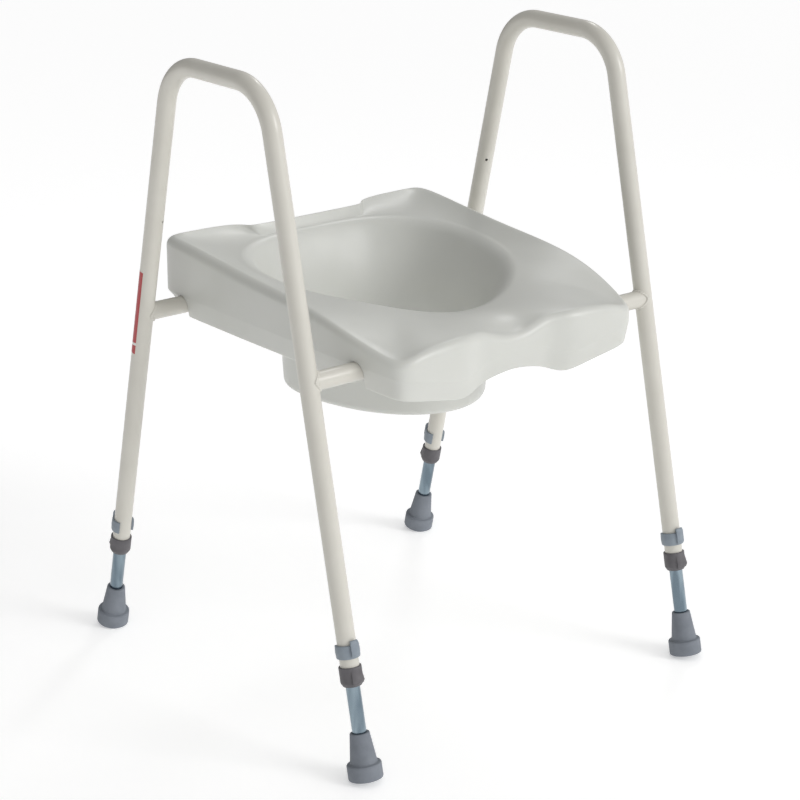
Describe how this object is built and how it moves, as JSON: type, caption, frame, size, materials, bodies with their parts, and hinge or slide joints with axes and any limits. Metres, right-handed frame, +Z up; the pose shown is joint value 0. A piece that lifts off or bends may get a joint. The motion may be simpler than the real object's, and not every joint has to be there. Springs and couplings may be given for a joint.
{
  "type": "toilet safety frame",
  "caption": "Free-standing toilet surround: two splayed tubular side frames with arm rests, a moulded raised seat with splash guard, and height-adjustable legs with rubber feet.",
  "frame": {"origin": "on the floor under the middle of the four feet", "axes": "+Z up, +Y from the front of the seat to the rear, +X towards the side frame named right"},
  "size_m": [0.553, 0.5668, 0.7695],
  "materials": {
    "powder_coat": "gloss ivory powder coat",
    "seat_plastic": "satin white polyethylene",
    "zinc_steel": "bright blue-passivated zinc plate",
    "ferrule_rubber": "matt grey rubber",
    "collar_plastic": "dark grey moulded",
    "clip_plastic": "blue-grey moulded"
  },
  "bodies": {
    "frame": {"side_frame_left": "powder_coat", "side_frame_right": "powder_coat", "cross_tube_front": "powder_coat", "cross_tube_rear": "powder_coat", "weld_beads": "powder_coat", "end_collar_front_left": "collar_plastic", "end_collar_front_right": "collar_plastic", "end_collar_rear_left": "collar_plastic", "end_collar_rear_right": "collar_plastic"},
    "seat_body": {"seat": "seat_plastic"},
    "leg_front_left": {"extension_tube_front_left": "zinc_steel", "ferrule_front_left": "ferrule_rubber", "ferrule_washer_front_left": "zinc_steel", "guide_plug_front_left": "collar_plastic"},
    "clip_front_left": {"spring_clip_front_left": "clip_plastic"},
    "leg_front_right": {"extension_tube_front_right": "zinc_steel", "ferrule_front_right": "ferrule_rubber", "ferrule_washer_front_right": "zinc_steel", "guide_plug_front_right": "collar_plastic"},
    "clip_front_right": {"spring_clip_front_right": "clip_plastic"},
    "leg_rear_left": {"extension_tube_rear_left": "zinc_steel", "ferrule_rear_left": "ferrule_rubber", "ferrule_washer_rear_left": "zinc_steel", "guide_plug_rear_left": "collar_plastic"},
    "clip_rear_left": {"spring_clip_rear_left": "clip_plastic"},
    "leg_rear_right": {"extension_tube_rear_right": "zinc_steel", "ferrule_rear_right": "ferrule_rubber", "ferrule_washer_rear_right": "zinc_steel", "guide_plug_rear_right": "collar_plastic"},
    "clip_rear_right": {"spring_clip_rear_right": "clip_plastic"}
  },
  "joints": [
    {"name": "seat_lift_off", "type": "slide", "parent": "frame", "child": "seat_body", "axis": [0, 0, 1], "range_m": [0, 0.15]},
    {"name": "leg_height_front_left", "type": "slide", "parent": "frame", "child": "leg_front_left", "axis": [0, -0.2241, -0.9746], "range_m": [0, 0.125]},
    {"name": "leg_height_front_right", "type": "slide", "parent": "frame", "child": "leg_front_right", "axis": [0, -0.2241, -0.9746], "range_m": [0, 0.125]},
    {"name": "leg_height_rear_left", "type": "slide", "parent": "frame", "child": "leg_rear_left", "axis": [0, 0.2241, -0.9746], "range_m": [0, 0.125]},
    {"name": "leg_height_rear_right", "type": "slide", "parent": "frame", "child": "leg_rear_right", "axis": [0, 0.2241, -0.9746], "range_m": [0, 0.125]},
    {"name": "clip_pull_front_left", "type": "slide", "parent": "frame", "child": "clip_front_left", "axis": [0, -0.9746, 0.2241], "range_m": [0, 0.02], "deforming": ["spring_clip_front_left"]},
    {"name": "clip_pull_front_right", "type": "slide", "parent": "frame", "child": "clip_front_right", "axis": [0, -0.9746, 0.2241], "range_m": [0, 0.02], "deforming": ["spring_clip_front_right"]},
    {"name": "clip_pull_rear_left", "type": "slide", "parent": "frame", "child": "clip_rear_left", "axis": [0, 0.9746, 0.2241], "range_m": [0, 0.02], "deforming": ["spring_clip_rear_left"]},
    {"name": "clip_pull_rear_right", "type": "slide", "parent": "frame", "child": "clip_rear_right", "axis": [0, 0.9746, 0.2241], "range_m": [0, 0.02], "deforming": ["spring_clip_rear_right"]}
  ]
}
